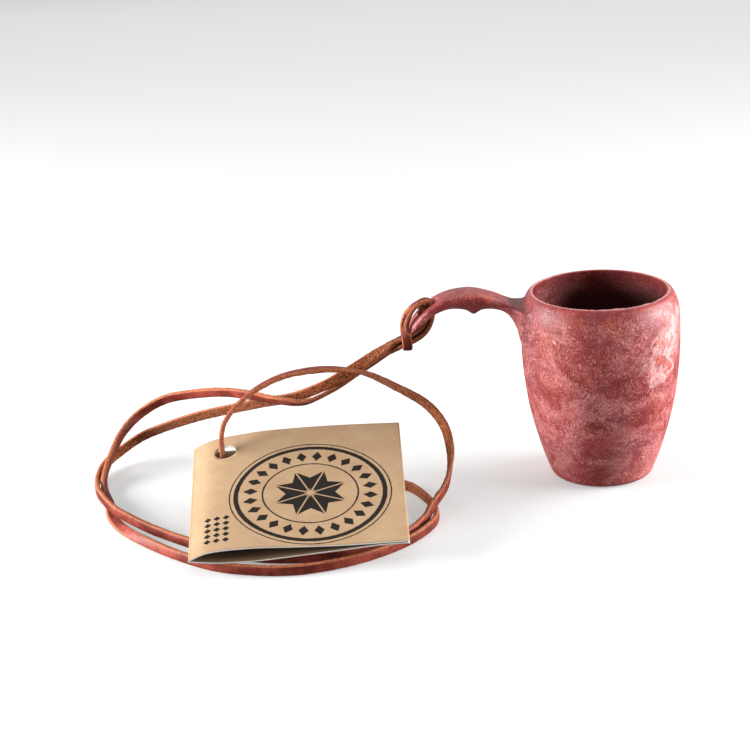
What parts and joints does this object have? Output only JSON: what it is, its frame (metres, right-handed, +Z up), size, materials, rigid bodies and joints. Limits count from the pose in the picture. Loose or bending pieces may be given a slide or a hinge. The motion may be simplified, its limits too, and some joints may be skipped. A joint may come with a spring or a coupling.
{
  "type": "kuksa cup",
  "caption": "Small moulded kuksa drinking cup with a drooping slotted handle, a doubled leather lace hitched through the slot and a folded card tag on the lace.",
  "frame": {"origin": "centre of the cup's flat foot, on the table", "axes": "+Z up along the bowl's axis; the handle points to -X; the lace and the tag lie on the -X side, towards -Y"},
  "size_m": [0.1787, 0.0988, 0.059],
  "materials": {
    "cup_composite": "satin",
    "lace_leather": "matte",
    "tag_card": "matte"
  },
  "bodies": {
    "cup": {"cup_body": "cup_composite", "lace_hitch": "lace_leather", "lace_strand_near": "lace_leather", "lace_strand_far": "lace_leather", "lace_arch": "lace_leather", "lace_knot": "lace_leather"},
    "tag_lower": {"tag_back": "tag_card"},
    "tag_upper": {"tag_front": "tag_card"}
  },
  "joints": [
    {"name": "tag_swivel", "type": "hinge", "parent": "cup", "child": "tag_lower", "pos_m": [-0.1137, -0.017, 0.0146], "axis": [0, 0, 1], "range_deg": [-40, 5]},
    {"name": "tag_fold", "type": "hinge", "parent": "tag_lower", "child": "tag_upper", "pos_m": [-0.1213, -0.0638, 0.0046], "axis": [0.0171, -0.978, -0.2079], "range_deg": [0, 20]}
  ]
}
